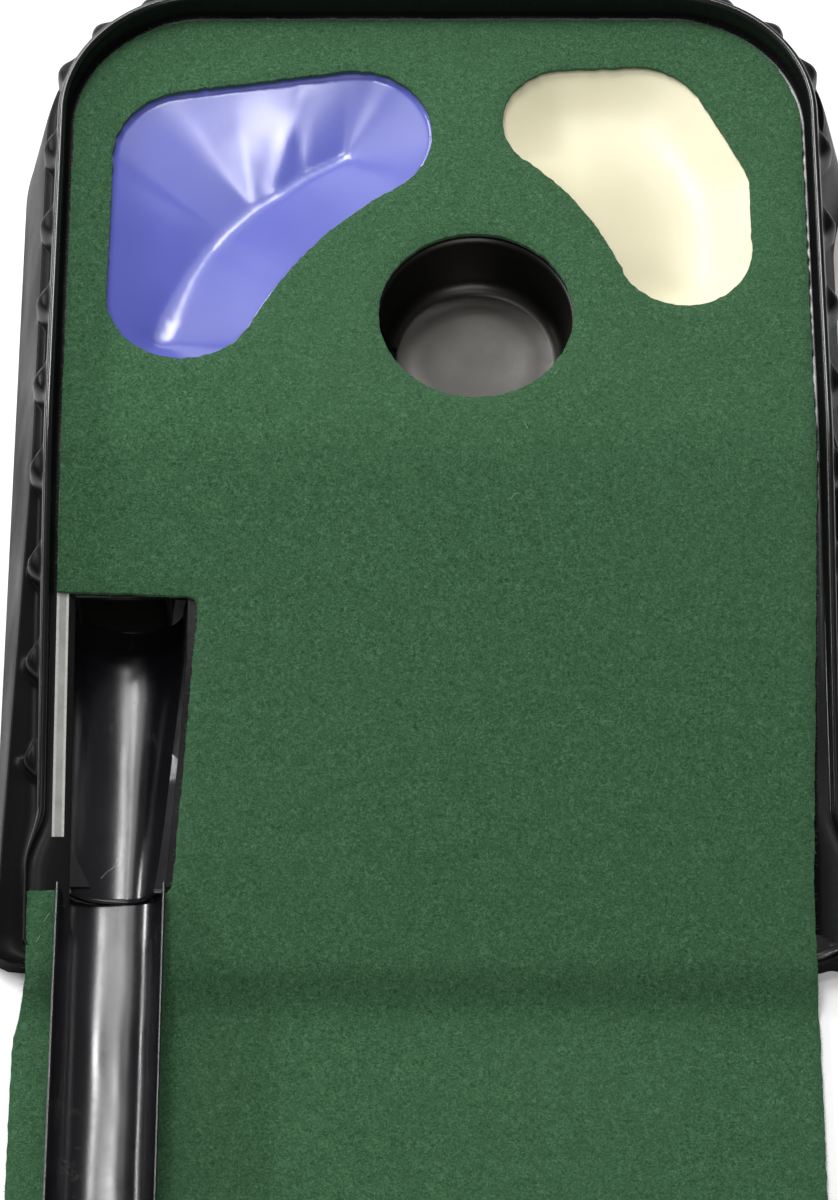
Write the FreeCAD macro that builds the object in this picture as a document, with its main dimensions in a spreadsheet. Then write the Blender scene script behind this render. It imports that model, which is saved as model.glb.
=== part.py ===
import FreeCAD, Part
import math
import os
import Sketcher

# Practice putting mat: a black moulded green with a cup and two hazards, a felt
# mat that runs down its ramp and forward on the floor, and a ball return that
# ends in a track of three slip-together channels.
# Millimetres. +X right, +Y towards the back of the green, +Z up.
# Plan values are measured from the cup's fore-and-aft position, which stands at
# hole_y in the finished frame, so the origin is at the centre of the footprint.

os.makedirs("parts", exist_ok=True)
doc = FreeCAD.newDocument("putting_mat")
Vec = FreeCAD.Vector

DIMS = {
    "hole_x": 21.0, "hole_y": 1002.0, "hole_r": 54.0,
    "felt_thick": 3.5, "tape_thick": 0.4, "wall": 3.0, "thin": 1.6,
    "deck_z": 80.1, "lip_z": 14.0, "ramp_top_y": -83.0, "front_y": -362.0,
    "bend_r": 120.0, "rim_high": 20.0, "rim_low": 3.0,
    "foot_half": 240.0, "foot_rear": 234.0, "foot_front": -366.0, "foot_corner": 107.0,
    "front_corner": 20.0, "skirt_draft": 12.5, "ledge_drop": 2.0,
    "rim_half": 216.0, "rim_rear": 211.0, "rim_corner": 84.0,
    "well_half": 206.0, "well_rear": 201.0, "well_corner": 74.0, "well_draft": 3.0,
    "flare_half": 220.5, "flare_y": -322.0, "rim_flare_half": 222.0, "rim_flare_y": -316.0,
    "rib_r": 9.0, "rib_pitch": 52.0, "rib_below": 5.0,
    "cup_floor": 34.0, "cup_wall": 1.8, "cup_flange_r": 66.0, "window_wide": 47.0,
    "exit_angle": 20.0, "chute_wide": 47.0, "chute_start_z": 33.0, "chute_end_z": 14.0, "chute_r": 135.0,
    "chute_turn": 70.0, "lane_x": -172.0,
    "trough_r": 25.0, "trough_z": 13.0, "trough_drop": 3.0, "trough_back": -164.0,
    "trough_len": 160.0,
    "track_x": -174.3, "track_r": 27.5, "track_high": 29.0, "track_len": 305.0,
    "track_back": -328.0, "bell_len": 26.0, "bell_gap": 0.4, "track_lift": 0.2,
    "mat_len": 2440.0, "mat_rear": 202.0, "mat_half": 207.0, "mat_corner": 75.0,
    "dish_deep": 20.0, "dish_draft": 50.0, "tray_flange": 6.0, "tray_sheet": 1.2,
}

sheet = doc.addObject("Spreadsheet::Sheet", "Dims")
for row, (alias, value) in enumerate(DIMS.items(), start=1):
    sheet.set("A%d" % row, alias)
    sheet.set("B%d" % row, str(value))
    sheet.setAlias("B%d" % row, alias)
doc.recompute()


def dim(alias):
    return float(sheet.get(alias))


def bind(obj, **expressions):
    """Tie properties to the spreadsheet; a double underscore stands for a dot."""
    for prop, expression in expressions.items():
        obj.setExpression(prop.replace("__", "."), expression)


# ---------------------------------------------------------------- sketch helpers
def plane_of(body, role):
    for feature in body.Origin.OriginFeatures:
        if feature.Role == role:
            return feature
    raise ValueError(role)


def sketch_on(body, role, edges, name):
    sketch = body.newObject("Sketcher::SketchObject", name)
    sketch.AttachmentSupport = [(plane_of(body, role), "")]
    sketch.MapMode = "FlatFace"
    sketch.addGeometry(edges, False)
    doc.recompute()
    return sketch


def line(start, end):
    return Part.LineSegment(Vec(start[0], start[1], 0), Vec(end[0], end[1], 0))


def arc(centre, radius, start, end):
    """Arc that runs anticlockwise between two angles in degrees."""
    circle = Part.Circle(Vec(centre[0], centre[1], 0), Vec(0, 0, 1), radius)
    return Part.ArcOfCircle(circle, math.radians(start), math.radians(end))


def polygon(points):
    return [line(points[i], points[(i + 1) % len(points)]) for i in range(len(points))]


def polar(centre, radius, angle):
    turn = math.radians(angle)
    return (centre[0] + radius * math.cos(turn), centre[1] + radius * math.sin(turn))


def arch_outline(half, rear, front, rear_r, front_r):
    """Plan of the green: square at the front, large round corners at the back."""
    edges = [line((half, front + front_r), (half, rear - rear_r))]
    edges.append(arc((half - rear_r, rear - rear_r), rear_r, 0, 90))
    edges.append(line((half - rear_r, rear), (rear_r - half, rear)))
    edges.append(arc((rear_r - half, rear - rear_r), rear_r, 90, 180))
    edges.append(line((-half, rear - rear_r), (-half, front + front_r)))
    if front_r > 0:
        edges.append(arc((front_r - half, front + front_r), front_r, 180, 270))
        edges.append(line((front_r - half, front), (half - front_r, front)))
        edges.append(arc((half - front_r, front + front_r), front_r, 270, 360))
    else:
        edges.append(line((-half, front), (half, front)))
    return edges


def blob_outline(lobes, grow, bridges):
    """Round lobes joined by tangent lines, or by hollow arcs where bridges says.

    lobes are (x, y, radius) anticlockwise; bridges maps a lobe's index to the
    radius of the hollow arc that leads on to the next lobe.
    """
    count = len(lobes)
    leave = [None] * count
    arrive = [None] * count
    links = []
    for i, (x0, y0, r0) in enumerate(lobes):
        x1, y1, r1 = lobes[(i + 1) % count]
        r0 = r0 + grow
        r1 = r1 + grow
        span = math.hypot(x1 - x0, y1 - y0)
        heading = math.degrees(math.atan2(y1 - y0, x1 - x0))
        if i in bridges:
            hollow = bridges[i] - grow
            reach0 = r0 + hollow
            reach1 = r1 + hollow
            along = (span ** 2 + reach0 ** 2 - reach1 ** 2) / (2 * span)
            swing = math.degrees(math.acos(along / reach0))
            out = heading - swing
            hub = polar((x0, y0), reach0, out)
            back = math.degrees(math.atan2(hub[1] - y1, hub[0] - x1))
            leave[i] = out
            arrive[(i + 1) % count] = back
            links.append(arc(hub, hollow, back + 180, out + 180))
        else:
            out = heading - math.degrees(math.acos((r0 - r1) / span))
            leave[i] = out
            arrive[(i + 1) % count] = out
            links.append(line(polar((x0, y0), r0, out), polar((x1, y1), r1, out)))
    edges = []
    for i, (x0, y0, r0) in enumerate(lobes):
        start = arrive[i]
        end = leave[i]
        while end < start:
            end += 360
        while end - start > 360:
            end -= 360
        edges.append(arc((x0, y0), r0 + grow, start, end))
        edges.append(links[i])
    return edges


# ---------------------------------------------------------------- solid helpers
def placed(obj, x="0", y="0", z="0"):
    bind(obj, Placement__Base__x=x + " * 1 mm", Placement__Base__y="(Dims.hole_y + %s) * 1 mm" % y)
    bind(obj, Placement__Base__z="(%s) * 1 mm" % z)
    return obj


def pad(name, role, edges, length, taper=None, both_ways=False, down=False):
    body = doc.addObject("PartDesign::Body", name)
    sketch = sketch_on(body, role, edges, name + "_sketch")
    feature = body.newObject("PartDesign::Pad", name + "_pad")
    feature.Profile = sketch
    bind(feature, Length=length)
    if taper:
        bind(feature, TaperAngle=taper)
    feature.Midplane = both_ways
    feature.Reversed = down
    body.Tip = feature
    doc.recompute()
    return body


def revolve(name, edges, angle="360"):
    """Turn a profile drawn in the XZ plane about the body's Z axis."""
    body = doc.addObject("PartDesign::Body", name)
    sketch = sketch_on(body, "XZ_Plane", edges, name + "_sketch")
    feature = body.newObject("PartDesign::Revolution", name + "_turn")
    feature.Profile = sketch
    feature.ReferenceAxis = (sketch, ["V_Axis"])
    bind(feature, Angle=angle)
    body.Tip = feature
    doc.recompute()
    return body


def fuse(name, shapes):
    joined = doc.addObject("Part::MultiFuse", name)
    joined.Shapes = shapes
    joined.Refine = True
    doc.recompute()
    return joined


def common(name, first, second):
    shared = doc.addObject("Part::MultiCommon", name)
    shared.Shapes = [first, second]
    doc.recompute()
    return shared


def cut(name, base, tools):
    tool = tools[0]
    if len(tools) > 1:
        tool = fuse(name + "_tools", tools)
    result = doc.addObject("Part::Cut", name)
    result.Base = base
    result.Tool = tool
    result.Refine = True
    doc.recompute()
    return result


def box(name, x, y, z, sizes):
    """Box from expressions: its low corner, then its three sizes."""
    solid = doc.addObject("Part::Box", name)
    bind(solid, Length=sizes[0], Width=sizes[1], Height=sizes[2])
    placed(solid, "(%s)" % x, "(%s)" % y, z)
    doc.recompute()
    return solid


def ramp_line(lift, low_lift):
    """Corner points and the blending arc of the deck's side profile."""
    top = (dim("ramp_top_y"), dim("deck_z") + lift)
    foot = (dim("front_y"), dim("lip_z") + low_lift)
    slope = math.atan2(top[1] - foot[1], top[0] - foot[0])
    reach = dim("bend_r") * math.tan(slope / 2)
    bend_back = (top[0] + reach, top[1])
    bend_front = (top[0] - reach * math.cos(slope), top[1] - reach * math.sin(slope))
    hub = (bend_back[0], top[1] - dim("bend_r"))
    bend = arc(hub, dim("bend_r"), 90, 90 + math.degrees(slope))
    return bend_back, bend, bend_front, foot, slope


def side_prism(name, lift, low_lift, above=False, back=260.0, front=-420.0):
    """Everything below (or above) a line parallel to the deck, right across."""
    bend_back, bend, bend_front, foot, slope = ramp_line(lift, low_lift)
    end = (front, foot[1] - (foot[0] - front) * math.tan(slope))
    limit = 160.0 if above else -60.0
    edges = [line((back, limit), (back, bend_back[1])), line((back, bend_back[1]), bend_back)]
    edges += [bend, line(bend_front, end), line(end, (front, limit))]
    edges.append(line((front, limit), (back, limit)))
    return placed(pad(name, "YZ_Plane", edges, "520 mm", both_ways=True))


def finish(obj, label):
    obj.Label = label
    doc.recompute()
    broken = [item.Name for item in doc.Objects if {"Invalid", "Error"} & set(item.State)]
    if broken:
        raise ValueError("objects in error: " + ", ".join(broken))
    shape = obj.Shape
    if not shape.isValid() or shape.Volume <= 0:
        raise ValueError("bad solid: " + label)
    shape.exportStep(os.path.join("parts", label + ".step"))
    box_ = shape.BoundBox
    print("%-16s solids %d vol %.0f  x %.1f..%.1f y %.1f..%.1f z %.1f..%.1f" % (
        label, len(shape.Solids), shape.Volume, box_.XMin, box_.XMax,
        box_.YMin, box_.YMax, box_.ZMin, box_.ZMax))


WATER = [(-142, 14, 43), (-47, 122, 44), (-140, 108, 44)]
WATER_HOLLOW = {0: 220.0}
SAND = [(138, 44, 38), (136, 85, 40), (113, 128, 41), (73, 131, 36)]
SAND_HOLLOW = {3: 170.0}

# ---------------------------------------------------------------- moulded green
skirt = placed(pad("skirt", "XY_Plane", arch_outline(
    dim("foot_half"), dim("foot_rear"), dim("foot_front"), dim("foot_corner"), dim("front_corner")),
    "(Dims.deck_z) * 1 mm", "-Dims.skirt_draft * 1 deg"))
rim = placed(pad("rim", "XY_Plane", arch_outline(
    dim("rim_half"), dim("rim_rear"), dim("front_y"), dim("rim_corner"), 0),
    "(Dims.deck_z + Dims.rim_high + 5) * 1 mm"))
rim_flare = box("rim_flare", "-Dims.rim_flare_half", "Dims.front_y", "0",
                ("Dims.rim_flare_half * 2 mm", "(Dims.rim_flare_y - Dims.front_y) * 1 mm", "120 mm"))
rim_all = fuse("rim_all", [rim, rim_flare])
well = placed(pad("well", "XY_Plane", arch_outline(
    dim("well_half"), dim("well_rear"), dim("front_y") - 40, dim("well_corner"), 0),
    "(Dims.deck_z + Dims.rim_high + 10) * 1 mm", "Dims.well_draft * 1 deg"))
flare = box("flare", "-Dims.flare_half", "Dims.front_y - 40", "0",
            ("Dims.flare_half * 2 mm", "(40 + Dims.flare_y - Dims.front_y) * 1 mm", "120 mm"))
hollow = placed(pad("hollow", "XY_Plane", arch_outline(
    dim("foot_half") - dim("wall"), dim("foot_rear") - dim("wall"), dim("foot_front") + dim("wall"),
    dim("foot_corner") - dim("wall"), dim("front_corner") - dim("wall")),
    "(Dims.deck_z - 0.5) * 1 mm", "-Dims.skirt_draft * 1 deg"))

below_ledge = side_prism("below_ledge", -dim("ledge_drop"), -dim("ledge_drop"))
below_crest = side_prism("below_crest", dim("rim_high"), dim("rim_low"))
below_rib = side_prism("below_rib", dim("rim_high") - dim("rib_below"), 0.0)
above_deck = side_prism("above_deck", 0.0, 0.0, above=True)
below_skin = side_prism("below_skin", -dim("wall"), -dim("wall"))

ribs = []
rib_line = dim("rim_half")
rib_back = dim("rim_rear")
corner_x = dim("rim_half") - dim("rim_corner")
corner_y = dim("rim_rear") - dim("rim_corner")
spots = []
for side in (-1, 1):
    for step in range(8):
        spots.append((side * rib_line, corner_y - 20 - step * dim("rib_pitch")))
    for angle in (22, 45, 68):
        spot = polar((corner_x, corner_y), dim("rim_corner"), angle)
        spots.append((side * spot[0], spot[1]))
for step in range(5):
    spots.append(((step - 2) * dim("rib_pitch"), rib_back))
for index, (rib_x, rib_y) in enumerate(spots):
    rib = doc.addObject("Part::Cylinder", "rib_%02d" % index)
    bind(rib, Radius="Dims.rib_r * 1 mm", Height="(Dims.deck_z + Dims.rim_high) * 1 mm")
    placed(rib, "(%.3f)" % rib_x, "(%.3f)" % rib_y, "0")
    ribs.append(rib)
rib_set = common("rib_set", fuse("rib_all", ribs), below_rib)

envelope = fuse("envelope", [common("skirt_low", skirt, below_ledge),
                             common("rim_low_part", rim_all, below_crest), rib_set])
well_cut = common("well_cut", fuse("well_all", [well, flare]), above_deck)
hollow_cut = common("hollow_cut", hollow, below_skin)

hole_cut = doc.addObject("Part::Cylinder", "hole_cut")
bind(hole_cut, Radius="(Dims.hole_r + 0.6) * 1 mm", Height="120 mm")
placed(hole_cut, "Dims.hole_x")


def blob(name, lobes, hollows, grow, z, length, taper=None, down=False):
    body = pad(name, "XY_Plane", blob_outline(lobes, grow, hollows), length, taper, down=down)
    return placed(body, "0", "0", z)


water_cut = blob("water_cut", WATER, WATER_HOLLOW, 1.5, "20", "100 mm")
sand_cut = blob("sand_cut", SAND, SAND_HOLLOW, 1.5, "20", "100 mm")
rebate = "Dims.deck_z - Dims.tray_sheet"
water_rebate = blob("water_rebate", WATER, WATER_HOLLOW, dim("tray_flange") + 0.5, rebate, "20 mm")
sand_rebate = blob("sand_rebate", SAND, SAND_HOLLOW, dim("tray_flange") + 0.5, rebate, "20 mm")
notch_cut = placed(pad("notch_cut", "XY_Plane", polygon([
    (-200, -168), (-136, -168), (-136, -200), (-145.7, -326), (-186, -326), (-200, -298)]), "120 mm"))
gate_cut = placed(pad("gate_cut", "XY_Plane", polygon([
    (-207.5, -324.5), (-141, -324.5), (-141, -420), (-207.5, -420)]), "120 mm"))
base_shell = cut("base_shell_solid", envelope, [
    well_cut, hollow_cut, hole_cut, water_cut, sand_cut, water_rebate, sand_rebate,
    notch_cut, gate_cut])
finish(base_shell, "base_shell")

# ---------------------------------------------------------------- cup
top_r = dim("hole_r")
low_r = top_r - 3.0
under_deck = dim("deck_z") - dim("wall")
skin = dim("cup_wall")
floor_z = dim("cup_floor")
bend = 10.0
cup_profile = [
    line((0, floor_z), (low_r - bend, floor_z)),
    arc((low_r - bend, floor_z + bend), bend, 270, 360),
    line((low_r, floor_z + bend), (top_r, under_deck)),
    line((top_r, under_deck), (dim("cup_flange_r"), under_deck)),
    line((dim("cup_flange_r"), under_deck), (dim("cup_flange_r"), under_deck - 1.5)),
    line((dim("cup_flange_r"), under_deck - 1.5), (top_r + skin, under_deck - 1.5)),
    line((top_r + skin, under_deck - 1.5), (low_r + skin, floor_z + bend)),
    arc((low_r - bend, floor_z + bend), bend + skin, 270, 360),
    line((low_r - bend, floor_z - skin), (0, floor_z - skin)),
    line((0, floor_z - skin), (0, floor_z)),
]
cup_bowl = placed(revolve("cup_bowl", cup_profile), "Dims.hole_x")
exit_turn = FreeCAD.Rotation(Vec(0, 0, 1), 180 + dim("exit_angle"))


def aimed_box(name, start, length, width, low, high):
    """Box, sized by expressions, that runs out from the cup towards the return."""
    solid = doc.addObject("Part::Box", name)
    solid.Placement = FreeCAD.Placement(Vec(0, 0, 0), exit_turn)
    bind(solid, Length="(%s) * 1 mm" % length, Width="(%s) * 1 mm" % width)
    bind(solid, Height="((%s) - (%s)) * 1 mm" % (high, low), Placement__Base__z="(%s) * 1 mm" % low)
    along = "cos(Dims.exit_angle * 1 deg)"
    across = "sin(Dims.exit_angle * 1 deg)"
    bind(solid, Placement__Base__x="(Dims.hole_x - (%s) * %s - (%s) / 2 * %s) * 1 mm" % (
        start, along, width, across))
    bind(solid, Placement__Base__y="(Dims.hole_y - (%s) * %s + (%s) / 2 * %s) * 1 mm" % (
        start, across, width, along))
    doc.recompute()
    return solid


window = aimed_box("window", "30", "45", "Dims.window_wide", "Dims.cup_floor", "90")
cup = cut("cup_solid", cup_bowl, [window])
finish(cup, "cup_insert")

# ---------------------------------------------------------------- return chute
half = dim("chute_wide") / 2.0
chute_skin = dim("thin")
chute_top = dim("deck_z") - dim("wall") - 2.0
hub = (dim("lane_x") + dim("chute_r"), dim("trough_back"))
bend_start = polar(hub, dim("chute_r"), 180 - dim("chute_turn"))
run = math.hypot(dim("hole_x") - bend_start[0], bend_start[1])
first = 58.0


def chute_block(name, side, low, extra):
    """Solid of the chute's path, first straight and then round the bend."""
    straight = aimed_box(name + "_run", "%.3f" % (first - extra), "%.3f" % (run - first + extra),
                         "%.3f" % (2 * side), "%.3f" % low, "%.3f" % chute_top)
    section = polygon([
        (dim("chute_r") - side, low), (dim("chute_r") + side, low),
        (dim("chute_r") + side, chute_top), (dim("chute_r") - side, chute_top)])
    turned = revolve(name + "_bend", section, "(Dims.chute_turn + %.1f) * 1 deg" % (extra / 2.5))
    turned.Placement = FreeCAD.Placement(
        Vec(hub[0], hub[1] + dim("hole_y"), 0),
        FreeCAD.Rotation(Vec(0, 0, 1), 180 - dim("chute_turn")))
    doc.recompute()
    return fuse(name, [straight, turned])


path_start = polar((dim("hole_x"), 0), first, 180 + dim("exit_angle"))
path_x = dim("lane_x") - path_start[0]
path_y = dim("trough_back") - path_start[1]
heading = math.degrees(math.atan2(path_y, path_x))
fall = math.degrees(math.atan2(dim("chute_start_z") - dim("chute_end_z"), math.hypot(path_x, path_y)))
tilt = FreeCAD.Rotation(Vec(0, 0, 1), heading).multiply(FreeCAD.Rotation(Vec(0, 1, 0), fall))


def above_floor(name, lift):
    """Big tilted block whose underside is the chute's falling floor."""
    solid = doc.addObject("Part::Box", name)
    solid.Length = 500.0
    solid.Width = 500.0
    solid.Height = 160.0
    start = Vec(path_start[0], path_start[1] + dim("hole_y"), dim("chute_start_z") + lift)
    solid.Placement = FreeCAD.Placement(start + tilt.multVec(Vec(-150, -250, 0)), tilt)
    doc.recompute()
    return solid


below_roof = side_prism("below_roof", -dim("wall") - 0.3, -dim("wall") - 0.3)
chute_outside = common("chute_outside", chute_block("chute_outer", half + chute_skin, 0.0, 0.0),
                       above_floor("chute_underside", -chute_skin))
chute_inside = common("chute_inside", chute_block("chute_inner", half, 0.0, 5.0),
                      above_floor("chute_floor", 0.0))
chute_open = cut("chute_open", chute_outside, [chute_inside])
finish(common("chute_solid", chute_open, below_roof), "return_chute")

# ---------------------------------------------------------------- outlet trough
t_r = dim("trough_r")
flare_tilt = 18.0
t_low = dim("trough_z")
t_top = 76.0
hub_z = t_low + t_r


def gutter(radius, top, tilt):
    """Left and right top points and tangent points of a round-bottomed channel."""
    touch = polar((0, hub_z), radius, -tilt)
    edge = touch[0] + (top - touch[1]) * math.tan(math.radians(tilt))
    return touch, edge


in_touch, in_edge = gutter(t_r, t_top, flare_tilt)
out_touch, out_edge = gutter(t_r + dim("thin"), t_top, flare_tilt)
trough_profile = [
    arc((0, hub_z), t_r, 180 + flare_tilt, 360 - flare_tilt),
    line(in_touch, (in_edge, t_top)), line((in_edge, t_top), (out_edge, t_top)),
    line((out_edge, t_top), out_touch),
    arc((0, hub_z), t_r + dim("thin"), 180 + flare_tilt, 360 - flare_tilt),
    line((-out_touch[0], out_touch[1]), (-out_edge, t_top)),
    line((-out_edge, t_top), (-in_edge, t_top)),
    line((-in_edge, t_top), (-in_touch[0], in_touch[1]))]
trough_raw = pad("trough_raw", "XZ_Plane", trough_profile, "Dims.trough_len * 1 mm")
trough_raw.Placement = FreeCAD.Placement(
    Vec(dim("lane_x"), dim("hole_y") + dim("trough_back"), 0),
    FreeCAD.Rotation(Vec(1, 0, 0), dim("trough_drop") / dim("trough_len") * 57.3))
doc.recompute()
trough = common("trough_solid", trough_raw, below_roof)
finish(trough, "outlet_trough")


# ---------------------------------------------------------------- hazard trays
def tray(label, lobes, hollows):
    gauge = dim("tray_sheet")
    flange = blob(label + "_flange", lobes, hollows, dim("tray_flange"), rebate, "Dims.tray_sheet * 1 mm")
    outer = blob(label + "_outer", lobes, hollows, 1.0, "Dims.deck_z", "Dims.dish_deep * 1 mm",
                 "-Dims.dish_draft * 1 deg", down=True)
    inner = blob(label + "_inner", lobes, hollows, 1.0 - gauge, "Dims.deck_z + 0.01",
                 "(Dims.dish_deep - Dims.tray_sheet) * 1 mm", "-Dims.dish_draft * 1 deg", down=True)
    solid = cut(label + "_solid", fuse(label + "_body", [flange, outer]), [inner])
    finish(solid, label)


tray("water_tray", WATER, WATER_HOLLOW)
tray("sand_tray", SAND, SAND_HOLLOW)

# ---------------------------------------------------------------- felt mat
gap = dim("tape_thick")
thick = dim("felt_thick")
mat_front = dim("mat_rear") - dim("mat_len")


def felt_edges():
    """Side profile of the mat: plateau, ramp, short drop over the lip, floor."""
    low = ramp_line(gap, gap)
    slope = low[4]
    drop = math.radians(30.0)
    edges = []
    lines = []
    for lift in (0.0, thick):
        bend_r = dim("bend_r") / 2 + gap + lift
        reach = dim("bend_r") / 2 * math.tan(slope / 2)
        back = (dim("ramp_top_y") + reach, low[0][1] + lift)
        bend_at = (back[0], back[1] - bend_r)
        front = polar(bend_at, bend_r, 90 + math.degrees(slope))
        bow = arc(bend_at, bend_r, 90, 90 + math.degrees(slope))
        lip = (dim("front_y") - 3.0 - lift * math.tan((slope + drop) / 2),
               front[1] - (front[0] - dim("front_y") + 3.0 + lift * math.tan((slope + drop) / 2))
               * math.tan(slope))
        floor = lift
        toe = (lip[0] - (lip[1] - floor) / math.tan(drop), floor)
        lines.append((back, bow, front, lip, toe))
    low_side, top_side = lines
    rear = dim("mat_rear")
    edges.append(line((rear, low_side[0][1]), low_side[0]))
    edges.append(low_side[1])
    edges.append(line(low_side[2], low_side[3]))
    edges.append(line(low_side[3], low_side[4]))
    edges.append(line(low_side[4], (mat_front, 0)))
    edges.append(line((mat_front, 0), (mat_front, thick)))
    edges.append(line((mat_front, thick), top_side[4]))
    edges.append(line(top_side[4], top_side[3]))
    edges.append(line(top_side[3], top_side[2]))
    edges.append(top_side[1])
    edges.append(line(top_side[0], (rear, top_side[0][1])))
    edges.append(line((rear, top_side[0][1]), (rear, low_side[0][1])))
    return edges


mat_band = placed(pad("mat_band", "YZ_Plane", felt_edges(), "520 mm", both_ways=True))
m_half = dim("mat_half")
m_rear = dim("mat_rear")
m_r = dim("mat_corner")
mat_plan = [
    arc((m_half - m_r, m_rear - m_r), m_r, 0, 90),
    line((m_half - m_r, m_rear), (m_r - m_half, m_rear)),
    arc((m_r - m_half, m_rear - m_r), m_r, 90, 180)]
mat_corners = [
    (-m_half, m_rear - m_r), (-m_half, -166), (-134, -169), (-131, -172), (-131, -182),
    (-142, -326), (-145.9, -330), (-148.9, -365), (-156, -386), (-166, -394), (-182.6, -394),
    (-192.6, -386), (-199.7, -365), (-202.7, -330), (-204, -328), (-219.5, -328),
    (-219.5, -372), (-226, -410), (-228, mat_front - 5), (203, mat_front - 5), (202, -410),
    (200, -330), (m_half, -100), (m_half, m_rear - m_r)]
mat_plan += [line(mat_corners[i], mat_corners[i + 1]) for i in range(len(mat_corners) - 1)]
mat_slab = placed(pad("mat_slab", "XY_Plane", mat_plan, "120 mm"))
mat_blank = common("mat_blank", mat_band, mat_slab)
felt_hole = doc.addObject("Part::Cylinder", "felt_hole")
bind(felt_hole, Radius="Dims.hole_r * 1 mm", Height="120 mm")
placed(felt_hole, "Dims.hole_x")
felt_water = blob("felt_water", WATER, WATER_HOLLOW, 0.0, "20", "100 mm")
felt_sand = blob("felt_sand", SAND, SAND_HOLLOW, 0.0, "20", "100 mm")
mat = cut("mat_solid", mat_blank, [felt_hole, felt_water, felt_sand])
# One sheet on the real mat: two solids here, parted where it leaves the green.
on_green = placed(pad("on_green", "XY_Plane", polygon([
    (260, 250), (-260, 250), (-260, -300), (-175, -300), (-175, -364), (260, -364)]), "200 mm"))
finish(common("felt_green_solid", mat, on_green), "felt_on_green")
finish(cut("felt_run_solid", mat, [on_green]), "felt_runner")

# ---------------------------------------------------------------- adhesive tapes
above_tape = side_prism("above_tape", 0.0, 0.0, above=True)
below_tape = side_prism("below_tape", gap, gap)
TAPES = {
    "tape_left": ((-207.1, -200.6), (-298.0, -104.0)),
    "tape_right": ((190.0, 196.0), (-320.0, -104.0)),
    "tape_rear": ((-110.0, 110.0), (182.0, 194.0)),
    "tape_front": ((-120.0, 180.0), (-356.0, -344.0)),
}
for label, (across, along) in TAPES.items():
    strip = box(label + "_box", "%.2f" % across[0], "%.2f" % along[0], "0",
                ("%.2f mm" % (across[1] - across[0]), "%.2f mm" % (along[1] - along[0]), "100 mm"))
    band = common(label + "_top", strip, above_tape)
    finish(common(label + "_solid", band, below_tape), label)


# ---------------------------------------------------------------- return track
def channel(name, radius, gauge, high, length, z_low):
    """Half-round channel with upright sides; z_low is its underside."""
    outer = radius + gauge
    axis_z = z_low + outer
    top = z_low + high + gauge
    edges = [
        arc((0, axis_z), radius, 180, 360),
        line((radius, axis_z), (radius, top)), line((radius, top), (outer, top)),
        line((outer, top), (outer, axis_z)), arc((0, axis_z), outer, 180, 360),
        line((-outer, axis_z), (-outer, top)), line((-outer, top), (-radius, top)),
        line((-radius, top), (-radius, axis_z))]
    return pad(name, "XZ_Plane", edges, length)


gauge = dim("thin")
r_in = dim("track_r")
step = gauge + dim("bell_gap")
low = dim("felt_thick") + dim("track_lift")
for index in range(3):
    label = "track_section_%d" % (index + 1)
    back = "(Dims.track_back - %d * (Dims.track_len - Dims.bell_len + 2.5))" % index
    if index == 0:
        plain = placed(channel(label + "_main", r_in, gauge, dim("track_high"),
                               "Dims.track_len * 1 mm", low + step), "Dims.track_x", back)
        finish(plain, label)
        continue
    bell = placed(channel(label + "_bell", r_in + step, gauge, dim("track_high") + step,
                          "Dims.bell_len * 1 mm", low), "Dims.track_x", back)
    main = placed(channel(label + "_main", r_in, gauge, dim("track_high"),
                          "(Dims.track_len - Dims.bell_len) * 1 mm", low + step),
                  "Dims.track_x", "(%s - Dims.bell_len)" % back)
    neck_outer = placed(channel(label + "_neck", r_in, gauge + step, dim("track_high"), "2 mm",
                                low), "Dims.track_x", "(%s - Dims.bell_len + 2)" % back)
    finish(fuse(label + "_solid", [bell, main, neck_outer]), label)
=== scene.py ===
import math
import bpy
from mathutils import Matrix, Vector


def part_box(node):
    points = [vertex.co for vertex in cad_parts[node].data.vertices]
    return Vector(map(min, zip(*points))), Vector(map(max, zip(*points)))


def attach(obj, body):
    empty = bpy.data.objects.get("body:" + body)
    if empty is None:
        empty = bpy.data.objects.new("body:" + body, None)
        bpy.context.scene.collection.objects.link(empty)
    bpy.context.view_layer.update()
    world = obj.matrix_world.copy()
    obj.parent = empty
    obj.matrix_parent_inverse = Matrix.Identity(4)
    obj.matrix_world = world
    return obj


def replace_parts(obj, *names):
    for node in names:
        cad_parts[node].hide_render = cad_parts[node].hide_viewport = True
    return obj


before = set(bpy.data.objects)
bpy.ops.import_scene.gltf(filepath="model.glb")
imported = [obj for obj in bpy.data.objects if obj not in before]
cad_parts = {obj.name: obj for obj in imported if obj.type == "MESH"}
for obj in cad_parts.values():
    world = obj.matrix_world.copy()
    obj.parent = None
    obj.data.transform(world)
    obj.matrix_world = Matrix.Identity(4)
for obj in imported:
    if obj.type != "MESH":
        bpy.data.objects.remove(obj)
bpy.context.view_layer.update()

from types import SimpleNamespace

import bmesh
import bpy
import numpy as np
from mathutils import Matrix, Vector, geometry

# The green's plan is worked in millimetres about the cup's fore-and-aft place,
# as in the CAD model: x right, y to the back, z up. at() turns it to metres.
cup_low, cup_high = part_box("cup_insert")
shell_low, shell_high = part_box("base_shell")
HOLE_X = (cup_low[0] + cup_high[0]) * 500.0
HOLE_Y = (cup_low[1] + cup_high[1]) * 500.0
FOOT_HALF = shell_high[0] * 1000.0
FOOT_FRONT = shell_low[1] * 1000.0 - HOLE_Y

# Sheet thicknesses: the moulded green, the felt and the adhesive strips.
SHEET = 3.0
FELT = 3.5
TAPE = 0.4

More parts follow.
